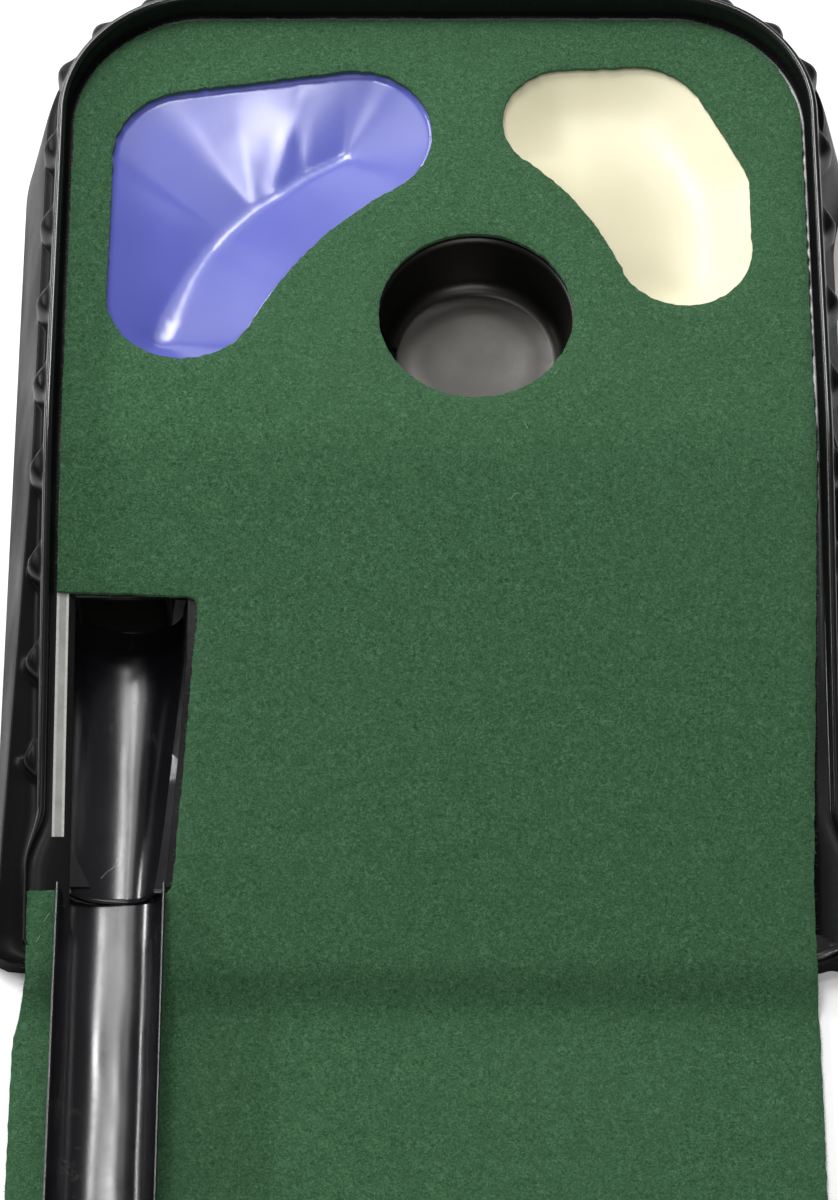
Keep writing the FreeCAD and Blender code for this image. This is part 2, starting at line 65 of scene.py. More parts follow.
# The deck: plateau height, front lip height, and where the ramp starts and ends.
DECK = cup_high[2] * 1000.0 + SHEET
LIP = 14.0
RAMP_TOP = -83.0
RAMP_SOFT = 12.0
FRONT = FOOT_FRONT + 4.0
SLOPE = (DECK - LIP) / (RAMP_TOP - FRONT)
HOLE_R = 54.0

# The gap in the front lip, left and right, and the notch that opens into it.
GATE = (-207.6, -141.0)
NOTCH_FRONT, NOTCH_REAR = -324.5, -168.0
NOTCH_LEFT = [(GATE[0], NOTCH_FRONT), (-186, NOTCH_FRONT), (-200, -298), (-200, NOTCH_REAR)]
NOTCH_RIGHT = [(-136, NOTCH_REAR), (-136, -200), (-145.6, NOTCH_FRONT), (GATE[1], NOTCH_FRONT)]
rng = np.random.default_rng(7)


def at(points):
    """Working millimetres to the CAD frame's metres."""
    p = np.asarray(points, float)
    return np.stack([p[:, 0], p[:, 1] + HOLE_Y, p[:, 2]], 1) / 1000.0


def smooth(t):
    """Soft step from 0 to 1, held flat outside."""
    t = np.clip(t, 0.0, 1.0)
    return t * t * (3 - 2 * t)


def deck_z(y):
    """Top of the moulded deck: plateau, a soft bend, then the ramp."""
    ramp = DECK - (RAMP_TOP - np.asarray(y, float)) * SLOPE
    return (ramp + DECK) / 2 - np.sqrt(((ramp - DECK) / 2) ** 2 + (RAMP_SOFT * SLOPE) ** 2 / 4)


# ------------------------------------------------------------------ materials
class Shader:
    """A Principled material with a few procedural layers."""

    def __init__(self, name, **sockets):
        """sockets: constant inputs, with _ for each space in a socket's name."""
        self.mat = bpy.data.materials.new(name)
        self.mat.use_nodes = True
        self.tree = self.mat.node_tree
        self.bsdf = self.tree.nodes["Principled BSDF"]
        for socket, value in sockets.items():
            self.bsdf.inputs[socket.replace("_", " ")].default_value = value
        self.coord = self.tree.nodes.new("ShaderNodeTexCoord")

    def node(self, kind, **inputs):
        """A new node; each input is a socket to link or a constant."""
        n = self.tree.nodes.new(kind)
        for key, value in inputs.items():
            key = key.replace("_", " ")
            if isinstance(value, bpy.types.NodeSocket):
                self.tree.links.new(value, n.inputs[key])
            else:
                n.inputs[key].default_value = value
        return n

    def noise(self, scale, detail=2.0, rough=0.5, distort=0.0):
        """Noise over the object's own coordinates."""
        n = self.node("ShaderNodeTexNoise", Vector=self.coord.outputs["Object"], Scale=scale, Detail=detail,
                      Roughness=rough, Distortion=distort)
        return n.outputs["Fac"]

    def ramp(self, fac, stops):
        """Colour ramp through (place, colour) stops."""
        r = self.node("ShaderNodeValToRGB", Fac=fac)
        ramp = r.color_ramp
        while len(ramp.elements) < len(stops):
            ramp.elements.new(0.5)
        for element, (place, colour) in zip(ramp.elements, stops):
            element.position = place
            element.color = (*colour, 1.0)
        return r.outputs["Color"]

    def span(self, fac, low, high, new_low, new_high):
        """Map low..high to new_low..new_high."""
        m = self.tree.nodes.new("ShaderNodeMapRange")
        self.tree.links.new(fac, m.inputs[0])
        for i, value in zip((1, 2, 3, 4), (low, high, new_low, new_high)):
            m.inputs[i].default_value = value
        return m.outputs[0]

    def maths(self, op, a, b):
        """One sum on two sockets or constants."""
        m = self.tree.nodes.new("ShaderNodeMath")
        m.operation = op
        for i, value in enumerate((a, b)):
            if isinstance(value, bpy.types.NodeSocket):
                self.tree.links.new(value, m.inputs[i])
            else:
                m.inputs[i].default_value = value
        return m.outputs[0]

    def mix(self, fac, a, b):
        """Blend two colours."""
        m = self.tree.nodes.new("ShaderNodeMix")
        m.data_type = "RGBA"
        for i, value in ((0, fac), (6, a), (7, b)):
            if isinstance(value, bpy.types.NodeSocket):
                self.tree.links.new(value, m.inputs[i])
            else:
                m.inputs[i].default_value = value if i == 0 else (*value, 1.0)
        return m.outputs[2]

    def bump(self, layers):
        """layers: (height socket, strength, distance in metres), chained."""
        normal = None
        for height, strength, distance in layers:
            b = self.node("ShaderNodeBump", Height=height, Strength=strength, Distance=distance)
            if normal is not None:
                self.tree.links.new(normal, b.inputs["Normal"])
            normal = b.outputs["Normal"]
        self.link(normal, "Normal")

    def link(self, socket, name):
        """Feed a socket into the Principled shader."""
        self.tree.links.new(socket, self.bsdf.inputs[name])


def black_plastic(name, base, rough, wave, scuffs=0.0, **sockets):
    """Moulded black plastic: uneven gloss, a slow wave and, if asked, scuffs."""
    s = Shader(name, **sockets)
    tone = s.noise(9.0, 3.0)
    dark = tuple(c * 0.75 for c in base)
    light = tuple(c * 1.5 for c in base)
    colour = s.ramp(tone, [(0.3, dark), (0.7, light)])
    fine = s.noise(260.0, 4.0, 0.65)
    cloud = s.noise(14.0, 2.0)
    gloss = s.span(cloud, 0.3, 0.7, rough * 0.8, rough * 1.3)
    gloss = s.maths("ADD", gloss, s.span(fine, 0.35, 0.8, 0.0, 0.05))
    if scuffs:
        marks = s.noise(42.0, 6.0, 0.7, distort=0.6)
        spots = s.noise(7.0, 1.0)
        where = s.span(spots, 0.5, 0.7, 0.0, scuffs)
        mask = s.maths("MULTIPLY", s.span(marks, 0.6, 0.74, 0.0, 1.0), where)
        colour = s.mix(mask, colour, (0.30, 0.29, 0.28))
        gloss = s.maths("ADD", gloss, s.maths("MULTIPLY", mask, 0.3))
    s.link(colour, "Base Color")
    s.link(gloss, "Roughness")
    s.bump([(s.noise(22.0, 1.0), wave, 0.0015), (fine, 0.05, 0.0002)])
    return s.mat


def tray_plastic(name, deep, pale, rough):
    """Formed coloured sheet with a faint cloudiness."""
    s = Shader(name)
    cloud = s.noise(11.0, 2.0)
    s.link(s.ramp(cloud, [(0.3, deep), (0.7, pale)]), "Base Color")
    fine = s.noise(300.0, 3.0)
    s.link(s.span(s.noise(18.0, 3.0), 0.3, 0.7, rough * 0.85, rough * 1.2), "Roughness")
    s.bump([(s.noise(26.0, 1.5), 0.12, 0.0015), (fine, 0.04, 0.0002)])
    return s.mat


def felt_material():
    """Needled felt: fibres, clumps and tufts of lighter and darker green."""
    s = Shader("green_felt", Roughness=0.95, Specular_IOR_Level=0.15, Sheen_Weight=0.12, Sheen_Roughness=0.5,
               Sheen_Tint=(0.55, 0.80, 0.58, 1.0))
    fibre = s.noise(1000.0, 5.0, 0.75, distort=1.2)
    clump = s.noise(430.0, 4.0, 0.65, distort=1.0)
    tuft = s.noise(150.0, 3.0, 0.6)
    broad = s.noise(5.0, 3.0)
    colour = s.ramp(fibre, [(0.32, (0.0072, 0.032, 0.0113)), (0.50, (0.028, 0.088, 0.037)),
                            (0.66, (0.099, 0.203, 0.110))])
    colour = s.mix(s.span(clump, 0.54, 0.70, 0.0, 0.9), colour, (0.080, 0.176, 0.092))
    colour = s.mix(s.span(clump, 0.46, 0.32, 0.0, 0.9), colour, (0.0106, 0.041, 0.016))
    colour = s.mix(s.span(tuft, 0.35, 0.65, 0.0, 0.35), colour, (0.021, 0.067, 0.027))
    colour = s.mix(s.span(broad, 0.35, 0.65, 0.0, 0.15), colour, (0.053, 0.120, 0.060))
    s.link(colour, "Base Color")
    s.bump([(clump, 0.5, 0.0010), (fibre, 0.8, 0.0006)])
    return s.mat


def tape_material(node):
    """Paper liner along the tape's length: a greyer middle, with pale borders that are painted highlight
    along the strip's two edges.
    """
    low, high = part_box(node)
    across = 0 if high[0] - low[0] < high[1] - low[1] else 1
    middle, wide = (low[across] + high[across]) / 2, high[across] - low[across]
    s = Shader(node + "_liner", Roughness=0.4)
    parts = s.node("ShaderNodeSeparateXYZ", Vector=s.coord.outputs["Object"])
    off = s.maths("ABSOLUTE", s.maths("SUBTRACT", parts.outputs[across], middle), 0.0)
    # Painted highlight: the pale bands along both edges stand in for light caught on the strip's rounded
    # edges; the greyer middle lies between them.
    painted_edge_highlight = s.span(off, wide * 0.24, wide * 0.34, 0.0, 1.0)
    paper = s.noise(600.0, 4.0, 0.6)
    wear = s.noise(60.0, 3.0)
    pale = s.ramp(paper, [(0.3, (0.36, 0.36, 0.33)), (0.7, (0.52, 0.51, 0.47))])
    grey = s.ramp(wear, [(0.3, (0.20, 0.20, 0.19)), (0.7, (0.31, 0.31, 0.29))])
    s.link(s.mix(painted_edge_highlight, grey, pale), "Base Color")
    s.bump([(paper, 0.1, 0.0002), (painted_edge_highlight, 0.3, 0.0002)])
    return s.mat


BLACK = black_plastic("black_shell", (0.0045, 0.0045, 0.0047), 0.20, 0.35)
# Painted shade: SKIRT and RIB are darker, less reflective copies of the shell's plastic, so the skirt and
# ribs look darker than the shell, though the real sheet has one finish.
SKIRT = black_plastic("black_skirt", (0.0040, 0.0040, 0.0042), 0.42, 0.6, Specular_IOR_Level=0.05)
RIB = black_plastic("black_ribs", (0.0035, 0.0035, 0.0037), 0.30, 0.35, Specular_IOR_Level=0.08)
CUP = black_plastic("black_cup", (0.0045, 0.0042, 0.0038), 0.36, 0.5, Specular_Tint=(1.0, 0.96, 0.89, 1.0))
TRACK = black_plastic("black_track", (0.0050, 0.0050, 0.0065), 0.19, 0.4, scuffs=0.35,
                      Specular_IOR_Level=0.8)
BLUE = tray_plastic("water_blue", (0.074, 0.087, 0.355), (0.100, 0.115, 0.425), 0.19)
BEIGE = tray_plastic("sand_beige", (0.62, 0.58, 0.40), (0.69, 0.65, 0.465), 0.40)
GREEN = felt_material()


# ------------------------------------------------------------------ mesh helpers
def mesh_object(name, verts, faces, materials, body, shade=True, kinds=None):
    """A mesh riding on its body; kinds gives each face its place in materials."""
    mesh = bpy.data.meshes.new(name)
    mesh.from_pydata([tuple(v) for v in at(verts)], [], faces)
    for material in materials if isinstance(materials, list) else [materials]:
        mesh.materials.append(material)
    if kinds is not None:
        mesh.polygons.foreach_set("material_index", kinds)
    mesh.validate()
    bm = bmesh.new()
    bm.from_mesh(mesh)
    bmesh.ops.remove_doubles(bm, verts=bm.verts, dist=1e-6)
    bmesh.ops.recalc_face_normals(bm, faces=bm.faces)
    bm.to_mesh(mesh)
    bm.free()
    obj = bpy.data.objects.new(name, mesh)
    bpy.context.scene.collection.objects.link(obj)
    if shade:
        mesh.shade_smooth()
    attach(obj, body)
    return obj


def sharpen(obj, angle=35.0):
    """Hard edges where faces meet at more than angle degrees."""
    obj.data.set_sharp_from_angle(angle=math.radians(angle))


def strip_faces(rows, cols, wrap=False):
    """Quads between rows of points, each row cols long."""
    faces = []
    for r in range(rows - 1):
        for c in range(cols if wrap else cols - 1):
            d = (c + 1) % cols
            faces.append((r * cols + c, r * cols + d, (r + 1) * cols + d, (r + 1) * cols + c))
    return faces


def arc_points(centre, radius, start, end, step=2.0):
    """Points along an arc from start to end degrees, about step apart."""
    count = max(2, int(abs(math.radians(end - start)) * radius / step) + 1)
    turn = np.radians(np.linspace(start, end, count))
    return np.stack([centre[0] + radius * np.cos(turn), centre[1] + radius * np.sin(turn)], 1)


def hollow_link(lobe, following, bow, grow):
    """Hollow arc of radius bow from one lobe to the next, and where it touches them."""
    (x0, y0, r0), (x1, y1, r1) = lobe, following
    span = math.hypot(x1 - x0, y1 - y0)
    heading = math.degrees(math.atan2(y1 - y0, x1 - x0))
    reach0, reach1 = r0 + grow + bow, r1 + grow + bow
    along = (span ** 2 + reach0 ** 2 - reach1 ** 2) / (2 * span)
    leave = heading - math.degrees(math.acos(along / reach0))
    hub = (x0 + reach0 * math.cos(math.radians(leave)), y0 + reach0 * math.sin(math.radians(leave)))
    arrive = math.degrees(math.atan2(hub[1] - y1, hub[0] - x1))
    first, last = leave + 180, arrive + 180
    while first - last > 180:
        first -= 360
    while last - first > 180:
        last -= 360
    return leave, arrive, arc_points(hub, bow, first, last)


def straight_link(lobe, following):
    """Tangent line from one lobe to the next: it touches both at one angle."""
    (x0, y0, r0), (x1, y1, r1) = lobe, following
    span = math.hypot(x1 - x0, y1 - y0)
    angle = math.degrees(math.atan2(y1 - y0, x1 - x0)) - math.degrees(math.acos((r0 - r1) / span))
    return angle, angle, np.zeros((0, 2))


def blob(lobes, hollows, grow=0.0):
    """Round lobes joined by tangent lines or hollow arcs, anticlockwise.

    lobes: (x, y, radius); hollows: the arc radius after each lobe that has one.
    """
    count = len(lobes)
    leave, arrive, links = {}, {}, {}
    for i, lobe in enumerate(lobes):
        following = lobes[(i + 1) % count]
        if i in hollows:
            link = hollow_link(lobe, following, hollows[i] - grow, grow)
        else:
            link = straight_link(lobe, following)
        leave[i], arrive[(i + 1) % count], links[i] = link
    points = []
    for i, (x0, y0, r0) in enumerate(lobes):
        start, end = arrive[i], leave[i]
        while end < start:
            end += 360
        while end - start > 360:
            end -= 360
        points.append(arc_points((x0, y0), r0 + grow, start, end))
        points.append(links[i])
    return resample(np.concatenate(points), 2.0)


def resample(loop, step):
    """Evenly spaced points round a closed outline."""
    loop = np.asarray(loop, float)
    closed = np.concatenate([loop, loop[:1]])
    run = np.concatenate([[0], np.cumsum(np.hypot(*np.diff(closed, axis=0).T))])
    keep = np.concatenate([[True], np.diff(run) > 1e-6])
    count = max(8, int(run[-1] / step))
    t = np.linspace(0, run[-1], count, endpoint=False)
    return np.stack([np.interp(t, run[keep], closed[keep, k]) for k in (0, 1)], 1)


def inside(points, loop):
    """Which points lie inside a closed outline."""
    x, y = points[:, 0], points[:, 1]
    hit = np.zeros(len(points), bool)
    for (x0, y0), (x1, y1) in zip(loop, np.roll(loop, -1, 0)):
        cross = (y0 > y) != (y1 > y)
        if cross.any() and y1 != y0:
            hit ^= cross & (x < (x1 - x0) * (y - y0) / (y1 - y0) + x0)
    return hit


def edge_distance(points, loop):
    """Distance from each point to a closed outline."""
    best = np.full(len(points), 1e9)
    for (x0, y0), (x1, y1) in zip(loop, np.roll(loop, -1, 0)):
        d = np.array([x1 - x0, y1 - y0])
        t = np.clip(((points - (x0, y0)) @ d) / max(d @ d, 1e-9), 0, 1)
        best = np.minimum(best, np.hypot(*(points - (x0, y0) - t[:, None] * d).T))
    return best


def patch(outer, holes, inner, clear=1.2):
    """Triangulated flat patch: outline, holes and the inner points clear of them."""
    keep = inside(inner, outer) & (edge_distance(inner, outer) > clear)
    for hole in holes:
        keep &= ~inside(inner, hole) & (edge_distance(inner, hole) > clear)
    inner = inner[keep]
    points, edges, start = [], [], 0
    for loop in [outer, *holes]:
        points.append(loop)
        n = len(loop)
        edges += [(start + i, start + (i + 1) % n) for i in range(n)]
        start += n
    flat = np.concatenate(points + [inner])
    verts, _, faces, *_ = geometry.delaunay_2d_cdt(
        [Vector(p) for p in flat.tolist()], edges, [], 0, 1e-5)
    verts = np.array([tuple(v) for v in verts])
    tri = np.array([f for f in faces if len(f) == 3])
    mid = verts[tri].mean(1)
    good = inside(mid, outer)
    for hole in holes:
        good &= ~inside(mid, hole)
    return verts, tri[good]


def grid(x0, x1, y0, y1, step):
    """Evenly spaced points over a rectangle."""
    nx = max(2, int((x1 - x0) / step) + 1)
    ny = max(2, int((y1 - y0) / step) + 1)
    gx, gy = np.meshgrid(np.linspace(x0, x1, nx), np.linspace(y0, y1, ny))
    return np.stack([gx.ravel(), gy.ravel()], 1)


def slab(verts, tri, top, bottom):
    """Closed solid from a flat patch, with a height for each face's points."""
    n = len(verts)
    points = np.concatenate([np.column_stack([verts, top]), np.column_stack([verts, bottom])])
    faces = [tuple(t) for t in tri] + [tuple(int(i) + n for i in t[::-1]) for t in tri]
    sides = {}
    for t in tri:
        for a, b in ((t[0], t[1]), (t[1], t[2]), (t[2], t[0])):
            sides[(int(a), int(b))] = True
    for a, b in sides:
        if (b, a) not in sides:
            faces.append((a, a + n, b + n, b))
    return points, [tuple(int(i) for i in f) for f in faces]


# The hazards' cut-outs in the felt, as blob() takes them.
WATER = [(-142, 14, 43), (-47, 122, 44), (-140, 108, 44)]
WATER_HOLLOW = {0: 220.0}
SAND = [(138, 44, 38), (136, 85, 40), (113, 128, 41), (73, 131, 36)]
SAND_HOLLOW = {3: 170.0}


def circle(radius):
    """Outline of a round hole about the cup's middle."""
    return arc_points((HOLE_X, 0), radius, 0, 360)[:-1]


# ------------------------------------------------------------------ moulded green
# Plan of the rim's inner wall, then the rim's section, its ribs and the skirt.
RIM_CORNER = 78.0
INNER_HALF = 210.0
INNER_REAR = 205.0
DECK_CORNER = (INNER_HALF - RIM_CORNER, INNER_REAR - RIM_CORNER)
FRONT_R = 9.0
RIM_WIDE = 5.4
RIM_HIGH = 20.0
RIB_STEP = 52.0
RIB_HALF = 12.5
RIB_OUT = 8.0
SKIRT_LEAN = math.tan(math.radians(12.5))
SKIRT_GAUGE = 2.6
FOOT_TUCK = 10.0


def rim_path():
    """Line of the rim's inner wall from the gate round to the gate again, and its outward normals."""
    front_y = FRONT + 1 + FRONT_R
    line = np.concatenate([
        [(GATE[1], FRONT + 1.0)],
        arc_points((INNER_HALF - FRONT_R, front_y), FRONT_R, 270, 360, 0.7),
        arc_points(DECK_CORNER, RIM_CORNER, 0, 90, 1.5),
        arc_points((-DECK_CORNER[0], DECK_CORNER[1]), RIM_CORNER, 90, 180, 1.5),
        arc_points((FRONT_R - INNER_HALF, front_y), FRONT_R, 180, 264, 0.7)])
    run = np.concatenate([[0], np.cumsum(np.hypot(*np.diff(line, axis=0).T))])
    t = np.linspace(0, run[-1], int(run[-1] / 1.6))
    path = np.stack([np.interp(t, run, line[:, k]) for k in (0, 1)], 1)
    heading = np.gradient(path, axis=0)
    heading /= np.hypot(*heading.T)[:, None]
    normal = np.stack([heading[:, 1], -heading[:, 0]], 1)
    for _ in range(3):
        normal[1:-1] = (normal[:-2] + 2 * normal[1:-1] + normal[2:]) / 4
    normal /= np.hypot(*normal.T)[:, None]
    return path, normal


def rib_places():
    """Centres of the half-round ribs outside the rim."""
    side_x, rear_y, corner_r = 216.0, 211.0, 84.0
    spots = []
    for side in (-1, 1):
        spots += [(side * side_x, 107.0 - RIB_STEP * i) for i in range(8)]
        for angle in (22, 45, 68):
            turn = math.radians(angle)
            spots.append((side * (DECK_CORNER[0] + corner_r * math.cos(turn)),
                          DECK_CORNER[1] + corner_r * math.sin(turn)))
    spots += [((i - 2) * RIB_STEP, rear_y) for i in range(5)]
    return np.array(spots)


def rib_height(path, normal, front):
    """How far the ribs stand out from the rim at each point of the path."""
    middle = path + normal * RIM_WIDE
    gap = np.full(len(path), 1e9)
    for spot in rib_places():
        gap = np.minimum(gap, np.hypot(*(middle - spot).T))
    swell = (0.5 + 0.5 * np.cos(np.pi * np.clip(gap / RIB_HALF, 0, 1))) ** 0.8
    return swell * (1 - front) * RIB_OUT * smooth((path[:, 1] + 345) / 40.0)


def rim_shape(path, normal):
    """Heights and outward offsets of the rim's section along the path.

    front is 0 round the sides and rear and 1 along the low front lip. The right
    foot tucks in near the rear.
    """
    y = path[:, 1]
    front = smooth((np.abs(normal[:, 1]) * (y < -200) - 0.1) / 0.8)
    deck = deck_z(y)
    along = np.clip((RAMP_TOP - y) / (RAMP_TOP - FRONT), 0, 1)
    crest = deck + RIM_HIGH - 17.0 * along ** 1.15
    crest = crest * (1 - front) + (deck + 1.2) * front
    open_out = smooth((-284.0 - y) / 32.0) * (1 - front)
    foot = (FOOT_HALF - INNER_HALF) * (1 - front) + 4.5 * front
    foot -= FOOT_TUCK * smooth((y + 110) / 70.0) * (path[:, 0] > 150) * smooth((150 - y) / 60.0)
    return SimpleNamespace(
        deck=deck, crest=crest, foot=foot,
        inner=0.3 + 9.0 * open_out,
        outer=(RIM_WIDE + 6.0 * open_out) * (1 - front) + 2.5 * front,
        ledge=deck - 2.0 - 2.0 * (1 - front),
        rib=rib_height(path, normal, front),
        level=np.zeros(len(path)))


def skirt_out(rim, z):
    """How far out the sloping skirt stands at height z."""
    return np.maximum(rim.foot - np.minimum(z * SKIRT_LEAN, rim.foot * 0.8), rim.outer + 0.4)


def skirt_section(rim):
    """Offsets and heights up the skirt, from its foot to the ledge."""
    section = [(rim.foot - 2.6, rim.level + 0.2), (rim.foot - 0.6, rim.level), (rim.foot, rim.level + 0.8)]
    for t in np.linspace(0.06, 0.86, 12):
        section.append((skirt_out(rim, t * rim.ledge), t * rim.ledge))
    return section


def rib_section(rim):
    """Over the ledge and up the rim's outside, swelling out at each rib."""
    outer, rib, ledge = rim.outer, rim.rib, rim.ledge
    high = np.maximum(rim.crest - 5.5, ledge + 1.0)
    rise = high - ledge
    brim = skirt_out(rim, ledge) - outer
    section = [(outer + brim, ledge - 1.6),
               (outer + np.maximum(brim - 0.5, rib), ledge - 0.4),
               (outer + np.maximum(brim - 1.4, rib), ledge),
               (outer + np.maximum(brim * 0.45, rib), ledge + 0.3),
               (outer + np.maximum(0.8, rib), ledge + 0.12 * rise + 0.4),
               (outer + np.maximum(0.25, rib), ledge + 0.25 * rise + 0.4)]
    for swell, t in ((0.99, 0.5), (0.94, 0.75), (0.78, 0.92)):
        section.append((outer + rib * swell, ledge + t * rise))
    return section + [(outer + rib * 0.45, high + 0.6), (outer + rib * 0.1, high + 1.4)]


def crown_section(rim):
    """Over the rounded crest and down the inner wall to the deck."""
    top_r = np.minimum((rim.outer - rim.inner) / 2, 2.6)
    ridge = (rim.outer + rim.inner) / 2
    edge = rim.outer - 0.3
    section = [(edge, np.maximum(rim.crest - top_r * 0.9, rim.ledge + 1.2))]
    for angle in range(20, 161, 20):
        turn = math.radians(angle)
        section.append((ridge + (edge - ridge) * math.cos(turn), rim.crest - top_r * (1 - math.sin(turn))))
    wall = np.maximum(rim.crest - rim.deck - top_r, 0.0)
    for t in (0.85, 0.5, 0.2):
        section.append((rim.inner + wall * t * 0.09, rim.deck + wall * t))
    return section + [(rim.inner - 0.4, rim.deck + np.minimum(1.0, wall * 0.1)),
                      (rim.inner - 1.6, rim.deck + 0.25), (rim.inner - 4.0, rim.deck)]


def under_section(rim):
    """Along the deck's edge, back under the rim and down inside the skirt."""
    below = rim.deck - SHEET + 0.2
    section = [(rim.level - 13.0, rim.deck), (rim.level - 13.0, below), (rim.inner - 2.0, below),
               (rim.outer - 2.0, below)]
    for t in (0.85, 0.45):
        section.append((skirt_out(rim, t * rim.ledge) - SKIRT_GAUGE, t * rim.ledge))
    return section + [(rim.foot - 2.6, rim.level + 0.2)]


def build_rim():
    """Rim, ribs and skirt: one section swept round the green."""
    path, normal = rim_path()
    n = len(path)
    shape = rim_shape(path, normal)
    skirt, ribs = skirt_section(shape), rib_section(shape)
    section = skirt + ribs + crown_section(shape) + under_section(shape)
    rows = [np.column_stack([path + normal * offset[:, None], z]) for offset, z in section]
    faces = strip_faces(len(rows), n)
    for end in (0, n - 1):
        faces.append(tuple(r * n + end for r in range(len(rows) - 1)))
    # The skirt and rib rows take the darker copies of the shell's plastic: painted shade.
    kinds = np.zeros(len(faces), int)
    kinds[:(len(skirt) + len(ribs)) * (n - 1)] = 1
    kinds[:len(skirt) * (n - 1)] = 2
    return mesh_object("green_rim", np.concatenate(rows), faces, [BLACK, RIB, SKIRT], "green",
                       kinds=kinds)


def build_deck():
    """Deck with its cut-outs; the felt hides it but for the notch and edges."""
    edge_r = RIM_CORNER - 2
    outer = np.concatenate([
        [(INNER_HALF - 2, FRONT + 1.0)],
        arc_points(DECK_CORNER, edge_r, 0, 90),
        arc_points((-DECK_CORNER[0], DECK_CORNER[1]), edge_r, 90, 180),
        [(2 - INNER_HALF, FRONT + 1.0), (GATE[0], FRONT + 1.0), *NOTCH_LEFT, *NOTCH_RIGHT,
         (GATE[1], FRONT + 1.0)]])
    holes = [blob(WATER, WATER_HOLLOW, 1.5), blob(SAND, SAND_HOLLOW, 1.5), circle(HOLE_R + 0.6)]
    verts, tri = patch(outer, holes, grid(-205, 205, FRONT + 4, 200, 9.0))
    top = deck_z(verts[:, 1])
    points, faces = slab(verts, tri, top - 0.05, top - SHEET)
    deck = mesh_object("green_deck", points, faces, BLACK, "green")
    sharpen(deck)


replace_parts(build_rim(), "base_shell")
build_deck()


# ------------------------------------------------------------------ cup
CUP_GAUGE = 1.8
CUP_FLOOR = cup_low[2] * 1000.0 + CUP_GAUGE
CUP_TOP = DECK - SHEET
CUP_LOW_R = 51.0
CUP_BEND = 9.0
EXIT_HEADING = math.radians(200)
EXIT_HALF = 23.0
EXIT_START = 30.0
EXIT_SILL = 0.9


def cup_profile():
    """Radius and height pairs: inside from the middle out, then the outside."""
    floor, top = CUP_FLOOR, CUP_TOP
    profile = [(0.01, floor - 0.2), (8, floor - 0.1), (18, floor + 0.1), (28, floor + 0.5),
               (36, floor + 1.1)]
    for angle in np.linspace(278, 358, 9):
        turn = math.radians(angle)
        profile.append((CUP_LOW_R - CUP_BEND + CUP_BEND * math.cos(turn),
                        floor + CUP_BEND + 0.6 + CUP_BEND * math.sin(turn)))
    for t in np.linspace(0.15, 1.0, 6):
        profile.append((CUP_LOW_R + 3.0 * t, floor + CUP_BEND + t * (top - floor - CUP_BEND)))
    profile += [(65.5, top), (65.5, top - 1.4), (56.2, top - 1.4)]
    profile += [(53.2, floor + CUP_BEND), (CUP_LOW_R, floor + 2.0), (44, floor - 1.6),
                (0.01, floor - CUP_GAUGE)]
    return np.array(profile)


def build_cup():
    """Turned bowl with the ball's way out cut from its wall."""
    profile = cup_profile()
    steps = 144
    turn = np.linspace(0, 2 * math.pi, steps, endpoint=False)
    points = np.concatenate([
        np.column_stack([HOLE_X + r * np.cos(turn), r * np.sin(turn), np.full(steps, z)])
        for r, z in profile])
    way = np.array([math.cos(EXIT_HEADING), math.sin(EXIT_HEADING)])
    faces = []
    for face in strip_faces(len(profile), steps, wrap=True):
        mid = points[list(face)].mean(0)
        rel = mid[:2] - (HOLE_X, 0)
        aside = abs(rel @ np.array([-way[1], way[0]]))
        if rel @ way > EXIT_START and aside < EXIT_HALF and mid[2] > CUP_FLOOR + EXIT_SILL:
            continue
        faces.append(face)
    cup = mesh_object("cup_bowl", points, faces, CUP, "green")
    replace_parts(cup, "cup_insert")


build_cup()


# ------------------------------------------------------------------ trough
LANE_X = -172.0
TROUGH_BACK, TROUGH_LIP = -164.0, -326.8
TROUGH_LEFT = -27.8
TROUGH_START = 13.0
TROUGH_DROP, TROUGH_RUN = 3.0, 160.0
TROUGH_GAUGE = 1.6
BOWL_X = 4.5
BOWL_LEFT = 34.0
BOWL_HIGH = 25.0
WALL_LEAN = math.tan(math.radians(18.0))


def notch_right(y):
    """Right-hand edge of the deck's opening over the trough."""
    return np.interp(y, [NOTCH_FRONT, -200.0, NOTCH_REAR], [-145.6, -136.0, -136.0])


def trough_sides(y, bowl, rim):
    """Flat sides joining the bowl's two edges to the deck at one station."""
    reach_right = notch_right(y) - LANE_X - 0.2
    reach_left = TROUGH_LEFT if y > -298 else TROUGH_LEFT + (-298 - y) * 0.5
    wall = max(float(deck_z(y)) - 3.6 - rim, 0.0)
    lean = WALL_LEAN * wall
    if wall > 0:
        right = np.linspace(bowl[0] + (lean * 0.5, wall), bowl[0], 8, endpoint=False)
        left = np.linspace(bowl[-1] + (-lean, wall), bowl[-1], 8, endpoint=False)[::-1]
        return right, left
    right_x = np.linspace(max(reach_right, bowl[0, 0] + 0.8), bowl[0, 0] + 0.4, 8)
    left_x = np.linspace(bowl[-1, 0] - 0.4, min(reach_left, bowl[-1, 0] - 0.8), 8)
    return np.stack([right_x, np.full(8, rim)], 1), np.stack([left_x, np.full(8, rim)], 1)


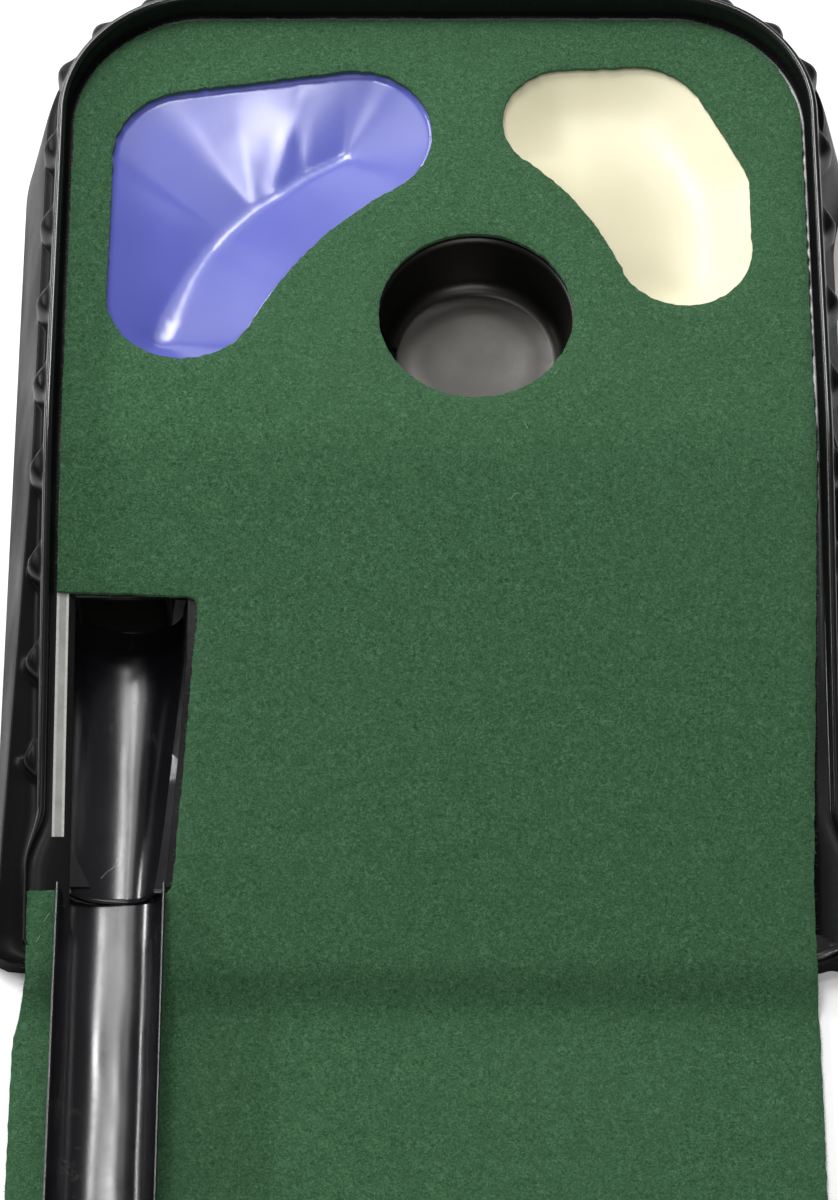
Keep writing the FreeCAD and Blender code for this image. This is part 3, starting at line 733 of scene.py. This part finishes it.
def trough_ring(y):
    """Closed section of the trough at one station: inside face, then outside.

    The bowl is lopsided: its lowest line lies right of the lane's middle, with a
    broad curve on the left and a tight one on the right.
    """
    fall = TROUGH_START - TROUGH_DROP * (TROUGH_BACK - y) / TROUGH_RUN
    bowl_right = notch_right(y) - LANE_X - BOWL_X - 3.5
    rim = min(float(deck_z(y)) - 0.5, fall + BOWL_HIGH)
    level = np.clip((rim - fall) / BOWL_HIGH, 0.05, 0.995)
    stop = math.acos(1 - level)
    swing = np.linspace(stop, -stop, 46)
    across = np.where(swing > 0, bowl_right, BOWL_LEFT) * np.sin(swing) + BOWL_X
    bowl = np.stack([across, fall + BOWL_HIGH * (1 - np.cos(swing))], 1)
    right, left = trough_sides(y, bowl, rim)
    inner = np.concatenate([right, bowl, left])
    ring = np.concatenate([inner, (inner + (0, -TROUGH_GAUGE))[::-1]])
    return np.column_stack([ring[:, 0] + LANE_X, np.full(len(ring), y), ring[:, 1]])


def build_trough():
    """Sections from the back of the notch to a turned-down lip at the front."""
    stations = np.concatenate([np.linspace(TROUGH_BACK, -312.0, 50), np.linspace(-314.0, TROUGH_LIP, 10)])
    rows = [trough_ring(y) for y in stations]
    rows.append(rows[-1] - (0, 1.0, 1.2))
    rows.append(rows[-1] - (0, 0, 1.6))
    points = np.concatenate(rows)
    cols = len(rows[0])
    faces = strip_faces(len(rows), cols, wrap=True)
    faces += [tuple(range(cols)), tuple(range(len(points) - cols, len(points)))]
    trough = mesh_object("outlet_channel", points, faces, TRACK, "green")
    sharpen(trough, 50)
    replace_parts(trough, "outlet_trough")


build_trough()


# ------------------------------------------------------------------ hazard dishes
def line_distance(points, route):
    """Distance from each point to a bent line."""
    best = np.full(len(points), 1e9)
    for a, b in zip(np.array(route[:-1], float), np.array(route[1:], float)):
        d = b - a
        t = np.clip(((points - a) @ d) / np.hypot(*d) ** 2, 0, 1)
        best = np.minimum(best, np.hypot(*(points - a - t[:, None] * d).T))
    return best


def valley(points, edge, route, crease):
    """0 at the rim and 1 on the valley line, with straight falls between."""
    gap = np.sqrt(line_distance(points, route) ** 2 + crease ** 2) - 0.6 * crease
    return edge / (edge + gap + 1e-6)


def reach_to(rim, start, points):
    """From start, through each point, to the rim: the whole length of that line."""
    way = points - start
    size = np.hypot(*way.T)
    way = way / np.maximum(size, 1e-6)[:, None]
    best = np.full(len(points), 1e3)
    for a, b in zip(rim, np.roll(rim, -1, 0)):
        d = b - a
        cross = way[:, 0] * d[1] - way[:, 1] * d[0]
        safe = np.where(np.abs(cross) < 1e-9, 1e-9, cross)
        off = a - start
        along = (off[:, 0] * d[1] - off[:, 1] * d[0]) / safe
        share = (off[:, 0] * way[:, 1] - off[:, 1] * way[:, 0]) / safe
        hit = (share >= -1e-6) & (share <= 1 + 1e-6) & (along > 0)
        best = np.where(hit & (along < best), along, best)
    return best, size


# The water dish's lowest line, and the heading of the falls behind each stretch of it.
CREASE = [(-54, 116), (-76, 103), (-104, 81), (-120, 64.5), (-131, 49), (-139, 34), (-146, 16), (-154, -8)]
RULINGS = (84.0, 99.0, 142.0, 152.0, 160.0, 166.0, 172.0)


def fan_foot(points, corner):
    """Where each point's fall meets the crease, going in its stretch's set direction.

    The falls open as a fan where two stretches meet.
    """
    foot = np.zeros_like(points)
    found = np.zeros(len(points), bool)
    for a, b, heading in zip(corner[:-1], corner[1:], np.radians(RULINGS)):
        d = b - a
        fall = np.array([math.cos(heading), math.sin(heading)])
        span = d[0] * fall[1] - d[1] * fall[0]
        off = points - a
        along = (off[:, 0] * fall[1] - off[:, 1] * fall[0]) / span
        before = ~found & (along < 0)
        foot[before] = a
        found |= before
        on = ~found & (along <= 1)
        foot[on] = a + along[on, None] * d
        found |= on
    foot[~found] = corner[-1]
    return foot


def square_foot(points, corner):
    """Each point's nearest place on the crease, and whether it lies in front of it."""
    near = np.full(len(points), 1e9)
    square = np.zeros_like(points)
    front = np.zeros(len(points), bool)
    for a, b in zip(corner[:-1], corner[1:]):
        d = b - a
        t = np.clip(((points - a) @ d) / (d @ d), 0, 1)
        off = points - a - t[:, None] * d
        gap = np.hypot(*off.T)
        closer = gap < near
        near = np.where(closer, gap, near)
        square[closer] = (a + t[:, None] * d)[closer]
        front = np.where(closer, d[0] * off[:, 1] - d[1] * off[:, 0] > 0, front)
    return square, front


def crease_foot(points):
    """Where each point's straight fall meets the crease.

    Behind the crease the falls follow RULINGS; in front they are square to it.
    """
    corner = np.array(CREASE, float)
    foot = fan_foot(points, corner)
    square, front = square_foot(points, corner)
    foot[front] = square[front]
    return foot


# The sand dish's lowest line, and how deep both dishes are.
SAND_VALLEY = [(76, 134), (92, 134), (108, 127), (122, 116), (133, 99), (139, 76), (141, 34)]
DISH_DEEP = 13.0


def water_height(points, edge):
    """Straight falls from the rim to the crease, which widens and climbs to the front.

    Two small bumps and a faint seam lie in the sheet as well.
    """
    foot = crease_foot(points)
    whole, gap = reach_to(blob(WATER, WATER_HOLLOW, 0.4), foot, points)
    low = np.clip((foot[:, 1] - 55) / -50.0, 0, 1)
    flat = 3.6 * low
    gap = np.maximum(gap - flat, 0.0)
    gap = np.sqrt(gap ** 2 + 1.5 ** 2) - 0.9
    near = 1 - gap / np.maximum(whole - flat, 4.0)
    deep = DISH_DEEP * (1 - 0.28 * low)
    knots = sum(0.3 * np.exp(-(np.hypot(points[:, 0] - x, points[:, 1] - y) / 2.4) ** 2)
                for x, y in ((-52, 113), (-44, 111)))
    seam = line_distance(points, [(-92, 96), (-74, 172)])
    wave = 0.30 * np.exp(-(seam / 5.0) ** 2) * smooth(edge / 10.0)
    return -(0.9 + deep * np.clip(near, 0, 1)) + knots + wave


def sand_height(points, edge):
    """Rounded falls to a bent valley line."""
    near = valley(points, edge, SAND_VALLEY, 7.0)
    return -(0.7 + DISH_DEEP * np.sin(np.pi / 2 * np.clip(near, 0, 1)) ** 1.15)


# Offsets from a dish's cut-out: its flange's edge, its own edge, and rings of points inside that.
FLANGE = 5.6
DISH_EDGE = 0.4
DISH_RINGS = (-0.8, 0.0, 0.7, 1.4, 2.1, 3.0, 4.2, 6.0)


def build_dish(name, node, lobes, hollows, height, material):
    """A formed sheet: flange under the felt, then the dish itself."""
    brim = blob(lobes, hollows, FLANGE)
    x0, y0 = brim.min(0)
    x1, y1 = brim.max(0)
    rings = [blob(lobes, hollows, DISH_EDGE - inset) for inset in DISH_RINGS]
    verts, tri = patch(brim, [], np.concatenate([grid(x0, x1, y0, y1, 3.0), *rings]))
    dish = blob(lobes, hollows, DISH_EDGE)
    edge = np.where(inside(verts, dish), edge_distance(verts, dish), 0.0)
    z = DECK - 0.4 + (height(verts, edge) + 0.3) * smooth(edge / 2.4)
    points, faces = slab(verts, tri, z, z - 1.0)
    formed = mesh_object(name, points, faces, material, "green")
    sharpen(formed, 60)
    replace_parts(formed, node)


build_dish("water_dish", "water_tray", WATER, WATER_HOLLOW, water_height, BLUE)
build_dish("sand_dish", "sand_tray", SAND, SAND_HOLLOW, sand_height, BEIGE)


# ------------------------------------------------------------------ felt
# The felt's plan on the green, and where it falls over the lip to the floor.
MAT_HALF, MAT_REAR, MAT_R = 207.0, 202.0, 75.0
MAT_DROP = FRONT - 3
MAT_DROP_LONG = 26.0
MAT_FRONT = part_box("felt_runner")[0][1] * 1000.0 - HOLE_Y


def felt_under(y):
    """Underside of the felt: on the deck, over the lip and down to the floor."""
    y = np.asarray(y, float)
    on_deck = deck_z(np.maximum(y, MAT_DROP)) + TAPE + 0.15
    start = float(deck_z(MAT_DROP)) + TAPE + 0.15
    t = np.clip((MAT_DROP - y) / MAT_DROP_LONG, 0, 1)
    drop = start * (1 - (0.35 * t + 0.65 * smooth(t)))
    return np.where(y > MAT_DROP, on_deck, drop)


def mat_outline():
    """Edge of the felt: round the green, in round the notch and track, out to the front."""
    corner = (MAT_HALF - MAT_R, MAT_REAR - MAT_R)
    notch = [(-MAT_HALF, -166), (-136, -168.5), (-132.5, -170), (-131, -174), (-131, -182), (-142, -326)]
    slit = [(-145.9, -330), (-148.9, -365), (-156, -386), (-166, -394), (-182.6, -394), (-192.6, -386),
            (-199.7, -365), (-202.7, -330), (-204, -328)]
    flap = [(-219.5, -328), (-219.5, -372), (-226, -410), (-228, MAT_FRONT)]
    right = [(203, MAT_FRONT), (202, -410), (200, -330), (MAT_HALF, -100)]
    return resample(np.concatenate([
        arc_points(corner, MAT_R, 0, 90), arc_points((-corner[0], corner[1]), MAT_R, 90, 180),
        notch, slit, flap, right]), 2.5)


def rough_edge(loop, size):
    """Hand-cut edge: small irregular steps off the drawn line."""
    jitter = rng.normal(0, 1, (len(loop), 2))
    jitter = (jitter + np.roll(jitter, 1, 0)) / 2
    wander = np.cumsum(rng.normal(0, 1, (len(loop), 2)), 0)
    wander -= np.linspace(0, 1, len(loop))[:, None] * wander[-1]
    wander *= 0.25 / max(1.0, np.abs(wander).max())
    return loop + size * jitter + wander


def build_felt():
    """One sheet from the rear of the green, over the lip, to the mat's front."""
    outline = rough_edge(mat_outline(), 0.28)
    holes = [rough_edge(blob(WATER, WATER_HOLLOW), 0.30), rough_edge(blob(SAND, SAND_HOLLOW), 0.30),
             rough_edge(circle(HOLE_R), 0.22)]
    inner = np.concatenate([grid(-232, 210, -470, 204, 5.0), grid(-232, 210, -900, -476, 12.0),
                            grid(-232, 210, MAT_FRONT, -915, 24.0)])
    inner = inner + rng.normal(0, 0.35, inner.shape)
    verts, tri = patch(outline, holes, inner)
    under = felt_under(verts[:, 1])
    edge = np.minimum.reduce([edge_distance(verts, loop) for loop in [outline, *holes]])
    sag = 0.9 * np.exp(-(edge / 1.6) ** 2)
    lumps = 0.18 * np.sin(verts[:, 0] / 23.0 + 1.3) * np.sin(verts[:, 1] / 31.0)
    top = under + FELT - 0.25 - sag + lumps * np.clip(edge / 10, 0, 1)
    points, faces = slab(verts, tri, top, under)
    felt = mesh_object("putting_felt", points, faces, GREEN, "green")
    sharpen(felt, 55)
    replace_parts(felt, "felt_on_green", "felt_runner")
    return outline, holes


felt_outline, felt_holes = build_felt()


# ------------------------------------------------------------------ loose fibres
def fibre(points, faces, start, length, heading, rise, width):
    """One thin ribbon of four joints, as a pair of crossed strips."""
    turn = rng.normal(0, 0.5, 4)
    p = np.array(start, float)
    way = heading
    spine = [p.copy()]
    for k in range(4):
        way = way + turn[k] * 0.5
        p = p + np.array([math.cos(way), math.sin(way), rise * (1.2 - 0.6 * k)]) * length / 4
        spine.append(p.copy())
    side = np.array([-math.sin(heading), math.cos(heading), 0.0]) * width
    up = np.array([0, 0, width])
    for offset in (side, up):
        base = len(points)
        for k, q in enumerate(spine):
            taper = 1.0 - 0.15 * k
            points.append(q + offset * taper)
            points.append(q - offset * taper)
        for k in range(len(spine) - 1):
            i = base + 2 * k
            faces.append((i, i + 1, i + 3, i + 2))


# Where each loose fibre lies on the felt, its length and its heading in radians.
STRAYS = [(39, -116, 7.0, 1.2), (49, -75, 6.0, 2.4), (64, -40, 5.0, 0.3), (-180, -322, 12, 1.0),
          (-176, -318, 9, 0.4), (-210, -345, 16, 0.8), (-214, -356, 9, 1.4)]
FUZZ_FRONT = -520


def build_edge_fibres():
    """Short fibres standing out of the felt's cut edges, near the green."""
    points, faces = [], []
    for loop, share in zip([felt_outline, *felt_holes], (1.0, 2.2, 2.2, 2.6)):
        for i in range(len(loop)):
            if loop[i, 1] < FUZZ_FRONT:
                continue
            a, b = loop[i], loop[(i + 1) % len(loop)]
            out = math.atan2(b[1] - a[1], b[0] - a[0]) + (-math.pi / 2)
            for _ in range(int(share + rng.random())):
                p = a + (b - a) * rng.random()
                z = float(felt_under(p[1])) + FELT * rng.uniform(0.25, 0.92)
                heading = out + rng.normal(0, 0.7)
                length = rng.uniform(0.9, 2.4)
                fibre(points, faces, (p[0], p[1], z), length, heading, rng.normal(0, 0.35), 0.07)
    mesh_object("felt_edge_fibres", points, faces, FUZZ, "green", shade=False)


def build_loose_fibres():
    """A few longer fibres lying on the felt."""
    points, faces = [], []
    for x, y, length, heading in STRAYS:
        z = float(felt_under(y)) + FELT + 0.5
        fibre(points, faces, (x, y, z), length, heading, 0.05, 0.11)
    mesh_object("felt_loose_fibres", points, faces, PALE, "green", shade=False)


def fibre_material(name, colour):
    """Plain matt fibre, a little uneven in tone."""
    s = Shader(name, Roughness=0.8)
    tone = s.noise(700.0, 2.0)
    dark = tuple(c * 0.6 for c in colour)
    s.link(s.ramp(tone, [(0.3, dark), (0.7, colour)]), "Base Color")
    return s.mat


FUZZ = fibre_material("edge_fibre", (0.12, 0.21, 0.12))
PALE = fibre_material("loose_fibre", (0.42, 0.50, 0.38))
build_edge_fibres()
build_loose_fibres()


# ------------------------------------------------------------------ return track
# FLATNESS is the power of the channel's curve: 2 is round, and more is squarer.
FLATNESS = 2.75
TRACK_GAUGE = 1.6
BELL = 26.0
BELL_STEP = 2.0


def track_ring(radius, axis, rim, flaw):
    """Closed section of the channel about its own middle, slightly flat-bottomed."""
    inner, outer = [], []
    for angle in np.linspace(0, -180, 44):
        turn = math.radians(angle)
        across, down = math.cos(turn), -math.sin(turn)
        wave = flaw * max(0.0, math.sin(-turn)) * across * 1.2
        square = (abs(across) ** FLATNESS + down ** FLATNESS) ** (-1 / FLATNESS)
        for side, r in ((inner, radius), (outer, radius + TRACK_GAUGE)):
            side.append((r * across * square, axis - r * down * square + wave))
    lift = np.linspace(rim - 0.8, axis + 0.5, 4)
    right_in = [(radius, z) for z in lift]
    right_out = [(radius + TRACK_GAUGE, z) for z in lift]
    left_in = [(-x, z) for x, z in right_in[::-1]]
    left_out = [(-x, z) for x, z in right_out[::-1]]
    crown = [(radius + TRACK_GAUGE * (0.5 + 0.5 * math.cos(a)), rim - 0.8 + 0.8 * math.sin(a))
             for a in np.linspace(math.pi, 0, 5)][1:-1]
    left_crown = [(-x, z) for x, z in crown]
    return np.array(right_in + inner + left_in + left_crown + left_out[::-1] + outer[::-1]
                    + right_out[::-1] + crown[::-1])


def build_track(index):
    """One section of the return track; every section but the first has a bell."""
    node = "track_section_%d" % index
    low, high = (np.array(corner) * 1000 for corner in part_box(node))
    x_mid = (low[0] + high[0]) / 2
    front, back = low[1] - HOLE_Y, high[1] - HOLE_Y
    neck = back - BELL
    step = BELL_STEP if index > 1 else 0.0
    r_main = (high[0] - low[0]) / 2 - TRACK_GAUGE - step
    axis = low[2] + TRACK_GAUGE + step + r_main
    top = high[2] - 0.2
    stations = [back, back - 0.5, neck + 3.0, neck + 1.6, neck + 0.4, neck - 0.8]
    stations += list(np.linspace(neck - 3, front + 0.4, 56)) + [front]
    rows = []
    for y in stations:
        grow = step * float(smooth((y - (neck - 0.8)) / 3.8))
        flaw = 0.22 * math.sin(y / 37.0 + index * 1.7) + 0.12 * math.sin(y / 13.0 + index)
        ring = track_ring(r_main + grow, axis, top - (step - grow) * 0.4, flaw)
        rows.append(np.column_stack([ring[:, 0] + x_mid, np.full(len(ring), y), ring[:, 1]]))
    cols = len(rows[0])
    points = np.concatenate(rows)
    faces = strip_faces(len(rows), cols, wrap=True)
    faces += [tuple(range(cols)), tuple(range(len(points) - cols, len(points)))]
    track = mesh_object("track_channel_%d" % index, points, faces, TRACK, "track_%d" % index)
    sharpen(track, 50)
    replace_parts(track, node)


for index in (1, 2, 3):
    build_track(index)


# ------------------------------------------------------------------ CAD nodes kept
def recolour(node, material):
    """Give a CAD node that stays visible its own material."""
    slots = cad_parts[node].data.materials
    slots.clear()
    slots.append(material)


for node in ("tape_left", "tape_right", "tape_rear", "tape_front"):
    recolour(node, tape_material(node))
recolour("return_chute", CUP)


# ------------------------------------------------------------------ stage
def build_floor():
    """Pale floor, just under the mat."""
    half = 9.0
    mesh = bpy.data.meshes.new("floor")
    mesh.from_pydata([(-half, -half, 0), (half, -half, 0), (half, half, 0), (-half, half, 0)], [],
                     [(0, 1, 2, 3)])
    floor = bpy.data.objects.new("floor", mesh)
    bpy.context.scene.collection.objects.link(floor)
    floor.location.z = -0.0006
    paper = Shader("floor_paper", Base_Color=(0.93, 0.93, 0.93, 1.0), Roughness=0.9, Specular_IOR_Level=0.1)
    mesh.materials.append(paper.mat)


def build_world():
    """Weak, even light from all round, and colours shown as they are."""
    world = bpy.data.worlds.new("studio")
    bpy.context.scene.world = world
    world.use_nodes = True
    background = world.node_tree.nodes["Background"]
    background.inputs["Color"].default_value = (0.97, 0.98, 1.0, 1.0)
    background.inputs["Strength"].default_value = 0.13
    bpy.context.scene.view_settings.view_transform = "Standard"


def soft_box(name, target, toward, reach, size, radiance, narrow=None):
    """Rectangular light, reach metres from target; narrow is its short axis."""
    way = Vector(toward).normalized()
    light = bpy.data.lights.new(name, "AREA")
    light.shape = "RECTANGLE"
    light.size, light.size_y = size
    light.energy = radiance * math.pi * size[0] * size[1]
    lamp = bpy.data.objects.new(name, light)
    bpy.context.scene.collection.objects.link(lamp)
    short = Vector(narrow) if narrow else Vector((0, 0, 1)).cross(way)
    short = (short - short.dot(way) * way).normalized()
    tall = way.cross(short)
    turn = Matrix((short, tall, way)).transposed()
    lamp.matrix_world = Matrix.Translation(Vector(target) + way * reach) @ turn.to_4x4()


def place_lights():
    """Soft boxes behind and above for the gloss, and two fills."""
    hole_y = HOLE_Y / 1000.0
    green_at = Vector((0.0, hole_y, 0.06))
    trough_at = Vector((-0.16, hole_y - 0.25, 0.02))
    track_at = Vector((-0.17, hole_y - 0.52, 0.01))
    soft_box("rear_soft", green_at, (-0.22, 0.60, 0.77), 2.6, (2.0, 1.6), 2.3)
    soft_box("rear_core", green_at, (-0.20, 0.545, 0.83), 2.5, (0.50, 0.8), 24.0)
    soft_box("rear_low", green_at, (-0.2, 0.90, 0.31), 2.6, (2.2, 0.8), 2.6)
    soft_box("ceiling_rear", green_at, (0.025, 0.285, 0.957), 2.7, (0.30, 0.26), 38.0)
    soft_box("track_core", track_at, (-0.13, 0.37, 0.918), 2.4, (0.18, 0.25), 36.0)
    soft_box("strip_left", trough_at, (-0.73, 0.545, 0.41), 2.6, (0.20, 2.6), 28.0, narrow=(0.41, 0, 0.73))
    soft_box("front_fill", Vector((0, 0.2, 0)), (0.15, -0.75, 0.65), 3.4, (2.6, 1.8), 3.0)
    soft_box("mat_fill", Vector((0, -0.7, 0)), (0.1, 0.1, 1.0), 3.0, (1.6, 1.2), 1.8)


build_floor()
build_world()
place_lights()


# ------------------------------------------------------------------ camera
# The view was fitted to the photograph: the line from the camera to the cup is
# CAMERA_FAR metres long and falls at RAY_ELEVATION; the picture's middle looks down at AXIS_PITCH.
LENS = 144.0
SENSOR = 36.0
RAY_ELEVATION = math.radians(57.0)
AXIS_PITCH = math.radians(60.42)
CAMERA_FAR = 2.6726
CAMERA_X = -0.0106


def place_camera():
    """Above and in front of the green, looking down its length."""
    data = bpy.data.cameras.new("camera")
    data.lens = LENS
    data.sensor_width = SENSOR
    data.clip_start, data.clip_end = 0.05, 50.0
    camera = bpy.data.objects.new("camera", data)
    bpy.context.scene.collection.objects.link(camera)
    camera.location = (CAMERA_X, HOLE_Y / 1000.0 - CAMERA_FAR * math.cos(RAY_ELEVATION),
                       (DECK + FELT + TAPE) / 1000.0 + CAMERA_FAR * math.sin(RAY_ELEVATION))
    camera.rotation_euler = (math.pi / 2 - AXIS_PITCH, 0.0, 0.0)
    bpy.context.scene.camera = camera


place_camera()

bpy.context.view_layer.update()
